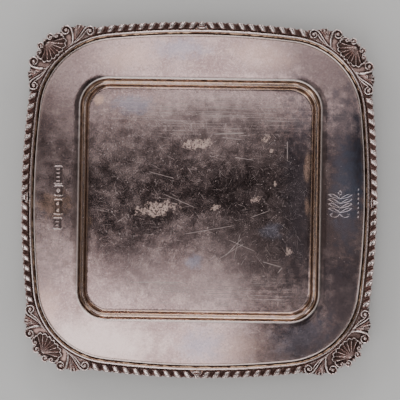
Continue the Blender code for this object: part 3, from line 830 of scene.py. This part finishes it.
def foot_mesh():
    """A cast scroll foot, grown together from its leg, scrolls, plate and pad."""
    leg = spline(FOOT_LEG, 10)
    plate = [(radius, FOOT_TOP - depth) for radius, depth in PLATE_PROFILE]
    solids = [
        swept(leg[:, :2], leg[:, 2], 1.35, 28, 0.09), lathe(plate, 0.0, PLATE_STRETCH),
        lathe(PAD_PROFILE, FOOT_LEG[-1][0], 1.0),
    ]
    steps = np.arange(SCROLL_STEPS)
    angle, radius = SCROLL_START + steps * SCROLL_STEP, SCROLL_RADIUS * (1 - steps / (SCROLL_STEPS + 4))
    spiral = np.column_stack([SCROLL_AT[0] + radius * np.cos(angle), SCROLL_AT[1] + radius * np.sin(angle)])
    points, faces = swept(spiral, np.linspace(0.62, 0.42, SCROLL_STEPS), 1.0, 12, 0.0)
    for side in (-1, 1):
        solids.append((points + np.array([0, side * SCROLL_SIDE, 0]), faces))
    foot = grown_together(solids)
    places = places_in(foot)
    places[:, 2] = np.clip(places[:, 2], 0.0, FOOT_TOP)
    foot.vertices.foreach_set("co", places.ravel())
    # Darker within a few millimetres of the leg's upright middle; the rest of the foot takes the painted
    # highlight.
    low = smoothstep(-np.hypot(places[:, 0] - 1.2, places[:, 1]), -4.0, -1.5) * 0.6
    set_attributes(foot, {"patina": low, "shine": 1 - low})
    foot.transform(Matrix.Scale(MM, 4))
    place = Matrix.Translation((FOOT_AXIS * MM, FOOT_AXIS * MM, 0))
    foot.transform(place @ Matrix.Rotation(math.pi / 4, 4, "Z"))
    return foot


# -------------------- materials
class Nodes:
    """Short calls for building a material's node tree; lengths are in millimetres."""

    def __init__(self, name):
        self.material = bpy.data.materials.new(name)
        self.material.use_nodes = True
        self.tree = self.material.node_tree
        self.shader = self.tree.nodes["Principled BSDF"]
        self.place = self.add("ShaderNodeTexCoord").outputs["Object"]

    def feed(self, socket, value):
        if isinstance(value, bpy.types.NodeSocket):
            self.tree.links.new(value, socket)
        else:
            socket.default_value = value

    def add(self, kind, inputs=None, **settings):
        node = self.tree.nodes.new(kind)
        for key, value in settings.items():
            setattr(node, key, value)
        for key, value in (inputs or {}).items():
            self.feed(node.inputs[key], value)
        return node

    def math(self, operation, a, b=0.0, clamp=False):
        return self.add("ShaderNodeMath", {0: a, 1: b}, operation=operation, use_clamp=clamp).outputs[0]

    def times(self, a, b):
        return self.math("MULTIPLY", a, b)

    def joined(self, operation, values):
        total, *others = values
        for value in others:
            total = self.math(operation, total, value)
        return total

    def sum(self, *values):
        return self.joined("ADD", values)

    def ramp(self, value, low, high, to_low=0.0, to_high=1.0):
        """Value mapped smoothly from low..high to 0..1."""
        inputs = {"Value": value, "From Min": low, "From Max": high, "To Min": to_low, "To Max": to_high}
        return self.add("ShaderNodeMapRange", inputs, interpolation_type="SMOOTHSTEP").outputs[0]

    def mapped(self, x, y, turn=0.0, size=(1, 1), source=None):
        """Coordinates from the point x, y, along axes turned by turn degrees, in units of size."""
        inputs = {
            "Vector": source or self.place, "Location": (x * MM, y * MM, 0),
            "Rotation": (0, 0, math.radians(turn)), "Scale": (size[0] * MM, size[1] * MM, 1),
        }
        return self.add("ShaderNodeMapping", inputs, vector_type="TEXTURE").outputs[0]

    def noise(self, scale, detail, vector=None, rough=0.5):
        inputs = {"Vector": vector or self.place, "Scale": scale, "Detail": detail, "Roughness": rough}
        return self.add("ShaderNodeTexNoise", inputs).outputs["Fac"]

    def mix(self, factor, a, b):
        """Colour a, turned to colour b by factor."""
        node = self.add("ShaderNodeMix", data_type="RGBA", blend_type="MIX")
        for place, value in ((0, factor), (6, a), (7, b)):
            self.feed(node.inputs[place], (*value, 1.0) if isinstance(value, tuple) else value)
        return node.outputs[2]

    def attribute(self, name):
        return self.add("ShaderNodeAttribute", attribute_name=name).outputs["Fac"]

    def blob(self, x, y, half_x, half_y, turn=0.0, soft=0.5, ragged=0.35):
        """1 inside a ragged ellipse, fading to 0 outside."""
        local = self.mapped(x, y, turn, (half_x, half_y))
        length = self.add("ShaderNodeVectorMath", {0: local}, operation="LENGTH").outputs["Value"]
        rough = self.ramp(self.noise(260, 4), 0.2, 0.8, -ragged, ragged)
        return self.ramp(self.math("ADD", length, rough), 1.0 + soft, 1.0 - soft)

    def blobs(self, operation, rows):
        return self.joined(operation, [self.blob(*row) for row in rows])

    def layers(self, colour, rows):
        """Colour under layers of other colours, each on its own blobs."""
        for operation, strength, new, blobs in rows:
            shown = self.math("MINIMUM", self.blobs(operation, blobs), 1.0)
            colour = self.mix(self.times(shown, strength), colour, new)
        return colour

    def wandering(self):
        """Coordinates that wander a little, so that scratches bend."""
        noise = self.add("ShaderNodeTexNoise", {"Vector": self.place, "Scale": 11.0, "Detail": 1.0})
        inputs = {0: noise.outputs["Color"], 1: (0.02, 0.02, 0.0), 2: self.place}
        return self.add("ShaderNodeVectorMath", inputs, operation="MULTIPLY_ADD").outputs[0]

    def scratches(self, source, turn, length, width, low, high):
        """Sparse streaks at one angle."""
        local = self.mapped(turn * 1.7, turn * 0.9, turn, (length, width), source)
        return self.ramp(self.noise(1.0, 1.5, local), low, high)

    def line(self, x0, y0, x1, y1, half):
        """1 on the straight scratch between two points, 0 beside it."""
        length, turn = math.hypot(x1 - x0, y1 - y0) / 2, math.degrees(math.atan2(y1 - y0, x1 - x0))
        local = self.mapped((x0 + x1) / 2, (y0 + y1) / 2, turn, (length, half))
        parts = self.add("ShaderNodeSeparateXYZ", {0: local})
        across = self.ramp(self.math("ABSOLUTE", parts.outputs[1]), 1.0, 0.2)
        return self.times(across, self.ramp(self.math("ABSOLUTE", parts.outputs[0]), 1.0, 0.7))

    def dots(self, spacing, radius, share):
        """Round specks, of which this share is shown."""
        cells = self.add("ShaderNodeTexVoronoi", {"Vector": self.place, "Scale": 1 / (spacing * MM)})
        near = self.ramp(cells.outputs["Distance"], radius / spacing, radius / spacing * 0.5)
        chance = self.add("ShaderNodeSeparateColor", {0: cells.outputs["Color"]}).outputs[0]
        return self.times(near, self.math("GREATER_THAN", chance, 1 - share))

    def finished(self, colour, rough, height):
        """The material, a metal with this colour, roughness and height in metres."""
        bumped = self.add("ShaderNodeBump", {"Height": height, "Distance": 1.0, "Strength": 1.0})
        looks = {"Metallic": 1.0, "Base Color": colour, "Roughness": rough, "Normal": bumped.outputs[0]}
        for name, value in looks.items():
            self.feed(self.shader.inputs[name], value)
        return self.material


THIN_TARNISH = (0.59, 0.385, 0.26)  # gold
THICK_TARNISH = (0.075, 0.036, 0.026)  # brown
RELIEF = 0.000004  # height of the sheet's grain and depth of its wear, in metres

# Places on the sheet, as blobs: x, y, half length, half width, turn, softness and raggedness.
WELL = (0, -2, 64, 60, 0, 0.2, 0.1)
# Painted dark reflections on the well and the rim: how each joins the ones before it, strength, blob.
PAINTED_DARK_REFLECTIONS = (
    ("ADD", 1.0, (62, -8, 44, 40, 0, 0.6, 0.3)), ("ADD", 0.35, (-28.4, -14.6, 9.5, 5.5, 8, 0.3)),
    ("MAXIMUM", 0.45, (-84, 62, 30, 56, -30, 0.6, 0.4)), ("MAXIMUM", 0.95, (70, 76, 40, 20, -34, 0.7, 0.4)),
    ("MAXIMUM", 0.6, (-88, -45, 9, 15, 0, 0.6, 0.5)), ("MAXIMUM", 0.5, (50, -86, 30, 15, 8, 0.7, 0.5)),
    ("ADD", 0.45, (34, 52, 32, 13, 0, 0.7, 0.5)), ("ADD", 0.4, (-46, -38, 20, 17, 0, 0.7, 0.5)),
)
# Layers of colour: how their blobs join, strength, colour, blobs. A painted pale reflection and painted
# bluish black shade, under the wear.
PAINTED_LIGHT_UNDER_WEAR = (
    ("ADD", 0.6, (0.96, 0.76, 0.72), ((-56, -82, 32, 11, -4, 0.7),)),
    ("MAXIMUM", 0.5, (0.07, 0.068, 0.095), (
        (57, 6, 9, 46, 0, 0.7, 0.5), (84, 34, 13, 26, 0, 0.6, 0.5), (84, -54, 13, 24, 10, 0.6, 0.5),
    )),
)
# A painted dark reflection, then tan, warm and blue stains, over it.
OVER_WEAR = (
    # Painted dark reflection on the right rim.
    ("ADD", 0.85, (0.055, 0.052, 0.07), ((90.2, 24.1, 7.0, 22, -3, 0.55, 0.5),)),
    ("ADD", 0.7, (0.84, 0.54, 0.42), (
        (-82, -3.9, 8.6, 6.6, 12, 0.3, 0.5), (-58.5, 56.5, 2.5, 2.5), (61.8, 19, 1.9, 8), (62.0, -3, 1.5, 4),
        (-63.2, -13, 2.0, 2.6),
    )),
    ("ADD", 0.35, (0.84, 0.55, 0.47), (
        (34, 83, 14, 6, -8, 0.8, 0.5), (27, -84, 12, 7, 6, 0.8, 0.5), (-86, -62, 6, 10, 0, 0.8, 0.5),
        (-40, 81, 15, 6, 6, 0.8, 0.5),
    )),
    ("ADD", 0.34, (0.4, 0.43, 0.58), (
        (41.6, -17.5, 5.5, 4), (-2.5, -35.3, 4.5, 3.5), (-39, 54, 10, 4.8), (-12, 86, 14, 5, 4, 0.8, 0.5),
        (2, -82, 10, 7, 0, 0.8, 0.5), (60, -77, 14, 9, 24, 0.8, 0.5), (84, 2, 7, 24, 0, 0.8, 0.5),
    )),
)
BRUSHED = ((5, 50, 60, 12), (-39, 54, 10, 4.8), (10, -52, 50, 8))
WORN = (
    (-1.0, 32.1, 9.8, 3.6, 8), (-24.2, -5.5, 14, 4.8, 12), (37.9, 35.9, 3.4, 2.4, 30, 0.7),
    (42.9, 9.8, 1.5, 1.8), (51.5, -28.8, 2.4, 3.4, -15, 0.6), (9.0, -4.2, 3.6, 1.8, 20),
    (32.2, 0.5, 3.4, 2.6, 0, 0.8), (40.9, 29.1, 1.4, 1.4),
)
WORN_RING = ((-57.5, 28.7, 3.0, 5.8, 0, 0.12, 0.2), (-57.5, 28.7, 2.5, 5.2, 0, 0.12, 0.2))  # outer, inner
# Painted shade along the well's moulding on the right and left sides.
SHADED_MOULDINGS = ((67, 0, 5, 54, 0, 0.3, 0.2), (-67, -8, 5, 54, 0, 0.3, 0.2))
# Single scratches: x and y of both ends, half width.
LINES = (
    (7.2, 37.9, 26.0, 38.8, 0.3), (12.0, 36.2, 24.0, 34.9, 0.15), (-39.2, -47.8, -8.5, -47.3, 0.28),
    (49.9, 34.9, 50.1, 23.5, 0.22), (19.9, 24.8, 31.3, 23.2, 0.14), (29.0, -9.8, 41.4, -5.0, 0.13),
    (-21.5, 3.5, -2.0, -4.5, 0.12), (36.2, -34.7, 48.2, -37.9, 0.18), (48.2, -37.9, 45.4, -41.4, 0.2),
    (14.5, -32.8, 25.1, -21.2, 0.14), (16.7, -22.4, 32.7, -29.1, 0.14), (11, -34, 27, -24, 0.12),
    (20, -35, 24, -18, 0.12), (-30, 16, -14, 12, 0.12), (-10, -20, 22, -14, 0.12),
)


def cast_silver_material():
    g = Nodes("cast_silver_relief")
    cloud, fine, shine = g.noise(60, 4, rough=0.6), g.noise(700, 3), g.attribute("shine")
    colour = g.mix(g.ramp(cloud, 0.35, 0.65), (0.37, 0.232, 0.21), (0.51, 0.34, 0.308))
    # A near-white painted highlight on the high parts.
    colour = g.mix(shine, colour, (0.98, 0.83, 0.8))
    # Patina in the hollows, with painted shade, turns it dark brown.
    cast_patina_and_shade = g.times(g.attribute("patina"), g.ramp(fine, 0.25, 0.65, 0.75, 1.0))
    colour = g.mix(g.ramp(cast_patina_and_shade, 0.2, 0.95), colour, (0.085, 0.052, 0.045))
    rough = g.sum(g.ramp(fine, 0.3, 0.7, 0.16, 0.24), g.times(cast_patina_and_shade, 0.15), g.times(shine, -0.05))
    return g.finished(colour, rough, g.times(fine, 0.00001))


def scratched_wear(g, well, fibres):
    """Bent hairlines, fibres, specks, brushed bands and single scratches, fewer outside the well."""
    wander = g.wandering()
    hair = g.sum(*(
        g.scratches(wander, turn, 11 + i, 0.22, 0.71, 0.8)
        for i, turn in enumerate((8, 37, 66, 95, 128, 151, 175))
    ))
    specks = g.sum(g.dots(6.1, 0.4, 0.5), g.dots(3.1, 0.3, 0.35), g.dots(2.1, 0.24, 0.25))
    brushed = g.times(g.scratches(g.place, 0, 30, 0.5, 0.45, 0.75), g.blobs("ADD", BRUSHED))
    scratched = g.times(g.sum(g.times(hair, 0.9), g.times(fibres, 0.35)), g.ramp(well, 0.0, 1.0, 0.2, 1.0))
    specks = g.times(specks, g.ramp(well, 0.0, 1.0, 0.3, 1.0))
    lines = g.sum(*(g.line(*row) for row in LINES))
    return g.math("MINIMUM", g.sum(scratched, specks, g.times(brushed, 0.4), lines), 1.0)


def flaked_wear(g, fibres):
    """Worn patches and the outline of one more, broken up into flakes."""
    ring = g.math("SUBTRACT", *(g.blob(*row) for row in WORN_RING))
    worn = g.sum(g.blobs("ADD", WORN), g.times(g.math("MAXIMUM", ring, 0.0), 0.55))
    grains = g.sum(g.noise(1300, 3, rough=0.7), g.times(fibres, 0.12))
    flaked = g.sum(g.math("MINIMUM", worn, 1.0), g.times(grains, 2.6))
    return g.times(g.ramp(flaked, 2.05, 2.6), g.ramp(worn, 0.02, 0.5, 0.0, 0.8))


def sheet_silver_material():
    g = Nodes("worn_sheet_silver")
    cloud, mottle, grain = g.noise(26, 5, rough=0.6), g.noise(150, 4, rough=0.65), g.noise(900, 3, rough=0.7)
    hue, shine, well = g.noise(60, 3, g.mapped(300, 200), rough=0.6), g.attribute("shine"), g.blob(*WELL)
    # clouds and grain of the thin overall tarnish
    colour = g.mix(g.ramp(cloud, 0.36, 0.64), (0.36, 0.235, 0.225), (0.68, 0.485, 0.465))
    for pattern, low, high, most, new in (
        (hue, 0.52, 0.66, 0.8, (0.34, 0.33, 0.42)), (hue, 0.48, 0.34, 0.75, (0.74, 0.45, 0.39)),
        (mottle, 0.48, 0.75, 0.6, (0.82, 0.6, 0.56)), (mottle, 0.46, 0.28, 0.6, (0.3, 0.2, 0.19)),
        (grain, 0.5, 0.72, 0.5, (0.86, 0.66, 0.62)), (grain, 0.5, 0.3, 0.45, (0.26, 0.18, 0.17)),
    ):
        colour = g.mix(g.ramp(pattern, low, high, 0.0, most), colour, new)
    # Painted dark reflection, mottled over the well and on the listed places of the rim.
    dark_reflection = g.times(well, g.ramp(mottle, 0.35, 0.65, 0.75, 0.45))
    for operation, strength, row in PAINTED_DARK_REFLECTIONS:
        dark_reflection = g.math(operation, dark_reflection, g.times(g.blob(*row), strength), clamp=True)
    colour = g.mix(g.times(dark_reflection, 0.7), colour, (0.1, 0.07, 0.072))
    # Painted pale reflection and painted bluish black shade.
    colour = g.layers(colour, PAINTED_LIGHT_UNDER_WEAR)
    # scratches, specks and worn patches
    fibres = g.sum(*(g.scratches(g.place, turn, 2.4, 0.28, 0.6, 0.8) for turn in (15, 60, 105, 150)))
    wear, worn = scratched_wear(g, well, fibres), flaked_wear(g, fibres)
    colour = g.mix(g.times(wear, 0.7), colour, (0.92, 0.78, 0.74))
    colour = g.mix(g.times(worn, 0.95), colour, (0.98, 0.72, 0.62))
    # painted dark reflection and stains, painted highlights on the edges, tarnish that turns gold and then
    # brown, and soot with painted shade
    colour = g.mix(shine, g.layers(colour, OVER_WEAR), (0.98, 0.83, 0.79))
    stain = g.times(g.attribute("patina"), g.ramp(g.noise(330, 4, rough=0.7), 0.35, 0.65, 0.45, 1.15))
    colour = g.mix(g.ramp(stain, 0.0, 0.5), colour, THIN_TARNISH)
    colour = g.mix(g.ramp(stain, 0.4, 1.0), colour, THICK_TARNISH)
    # Painted shade on the right and left mouldings of the well.
    moulding_shade = g.times(g.blobs("MAXIMUM", SHADED_MOULDINGS), g.ramp(hue, 0.35, 0.55, 0.75, 0.45))
    colour = g.mix(moulding_shade, colour, (0.1, 0.062, 0.05))
    # Soot and painted shade in the punches.
    colour = g.mix(g.times(g.attribute("soot_and_painted_shade"), 0.85), colour, (0.055, 0.038, 0.036))
    rough = g.sum(
        g.ramp(cloud, 0.3, 0.7, 0.11, 0.15), g.ramp(mottle, 0.35, 0.7, 0.0, 0.05), g.times(wear, 0.38),
        g.times(worn, 0.42), g.times(shine, 0.18),
    )
    return g.finished(colour, rough, g.sum(g.times(wear, -RELIEF), g.times(grain, RELIEF)))


# -------------------- pieces
finishes = {"sheet_silver": sheet_silver_material(), "cast_silver": cast_silver_material()}
finish_piece("raised_sheet", plate_mesh(), "tray_plate", "sheet_silver", 60)
bead, mount, foot = bead_mesh(), mount_mesh(), foot_mesh()
for name, quarters in QUARTERS.items():
    for piece, mesh, node, sharp in (
        ("bead", bead, "bead_wire", 45), ("shell_corner", mount, "corner_mount", 65),
        ("scroll_foot", foot, "foot", 50),
    ):
        finish_piece(f"{piece}_{name}", mesh, f"{node}_{name}", "cast_silver", sharp, quarters)
side_leaf, left, right = side_leaf_mesh(), gadroon_mesh(1), gadroon_mesh(-1)
for name, quarters in SIDES.items():
    for piece, mesh, node, sharp in (
        (f"middle_leaf_{name}", side_leaf, f"side_leaf_{name}", 65),
        (f"lobes_{name}_left", left, f"gadroon_{name}_left", 60),
        (f"lobes_{name}_right", right, f"gadroon_{name}_right", 60),
    ):
        finish_piece(piece, mesh, node, "cast_silver", sharp, quarters)


# -------------------- stage, lights, camera; in metres
LIGHT_HEIGHT = 1.2
# Lights overhead, for the flat silver: name, x, y, size, power.
LIGHTS = (
    ("light_back", 0.0, 0.44, (0.46, 0.6), 1.4), ("light_front", -0.38, -0.45, (0.9, 0.7), 3.6),
    ("light_strip", 0.2, 0.05, (0.06, 0.55), 0.05), ("light_left", -0.5, 0.15, (0.5, 0.5), 0.06),
    ("light_corner", 0.42, 0.42, (0.34, 0.34), 0.16), ("light_right", 0.55, -0.05, (0.5, 0.7), 0.3),
)
# Lights round about, for the relief: degrees from +X, power.
GLINTS = ((0, 0.2), (45, 0.5), (90, 2.1), (135, 1.2), (180, 0.6), (225, 0.9), (270, 1.1), (315, 0.4))
GLINT_RADIUS, GLINT_HEIGHT = 1.1, 0.75
WASH_POWER = 2.0  # of the lights that fall on the floor alone
CAMERA_X, CAMERA_HEIGHT, CAMERA_TURN = 0.0004, 0.7, 0.9
VIEW_WIDTH = 0.2274  # what the picture spans, at the height of the rim
SENSOR = 36.0


def floor():
    mesh = bpy.data.meshes.new("floor")
    with edited(mesh) as bm:
        bmesh.ops.create_grid(bm, x_segments=1, y_segments=1, size=3.0)
    paper = bpy.data.materials.new("pale_floor")
    paper.use_nodes = True
    shader = paper.node_tree.nodes["Principled BSDF"]
    shader.inputs["Base Color"].default_value = (0.62, 0.61, 0.6, 1)
    shader.inputs["Roughness"].default_value = 0.9
    mesh.materials.append(paper)
    made = linked("floor", mesh)
    return made


def softbox(name, place, target, size, power):
    light = bpy.data.lights.new(name, "AREA")
    light.shape = "RECTANGLE"
    light.size, light.size_y = size
    light.energy = power
    made = linked(name, light)
    made.location = place
    made.rotation_euler = (Vector(target) - Vector(place)).to_track_quat("-Z", "Y").to_euler()
    return made


def pale_walls():
    """A world with pale walls under a dark ceiling."""
    world = bpy.data.worlds.new("studio")
    world.use_nodes = True
    nodes, links = world.node_tree.nodes, world.node_tree.links
    background, way = nodes["Background"], nodes.new("ShaderNodeTexCoord")
    parts, level = nodes.new("ShaderNodeSeparateXYZ"), nodes.new("ShaderNodeMapRange")
    background.inputs["Color"].default_value = (0.96, 0.95, 0.94, 1)
    level.interpolation_type = "SMOOTHSTEP"
    for name, value in (("From Min", 0.15), ("From Max", 0.8), ("To Min", 0.36), ("To Max", 0.03)):
        level.inputs[name].default_value = value
    links.new(way.outputs["Generated"], parts.inputs[0])
    links.new(parts.outputs[2], level.inputs["Value"])
    links.new(level.outputs[0], background.inputs["Strength"])
    return world


only_floor = bpy.data.collections.new("only_floor")
only_floor.objects.link(floor())
for name, x, y, size, power in LIGHTS:
    softbox(name, (x, y, LIGHT_HEIGHT), (x, y, 0), size, power)
for compass, power in GLINTS:
    angle = math.radians(compass)
    place = (GLINT_RADIUS * math.cos(angle), GLINT_RADIUS * math.sin(angle), GLINT_HEIGHT)
    softbox(f"glint_{compass}", place, (0, 0, 0), (0.32, 0.32), power)
    wash = softbox(f"wash_{compass}", place, (0, 0, 0), (0.8, 0.5), WASH_POWER)
    wash.light_linking.receiver_collection = only_floor
bpy.context.scene.world = pale_walls()

camera = bpy.data.cameras.new("camera")
camera.sensor_width = SENSOR
camera.lens = SENSOR * (CAMERA_HEIGHT - RIM_TOP * MM) / VIEW_WIDTH
viewer = linked("camera", camera)
viewer.location = (CAMERA_X, 0.0, CAMERA_HEIGHT)
viewer.rotation_euler = (0, 0, math.radians(CAMERA_TURN))
bpy.context.scene.camera = viewer
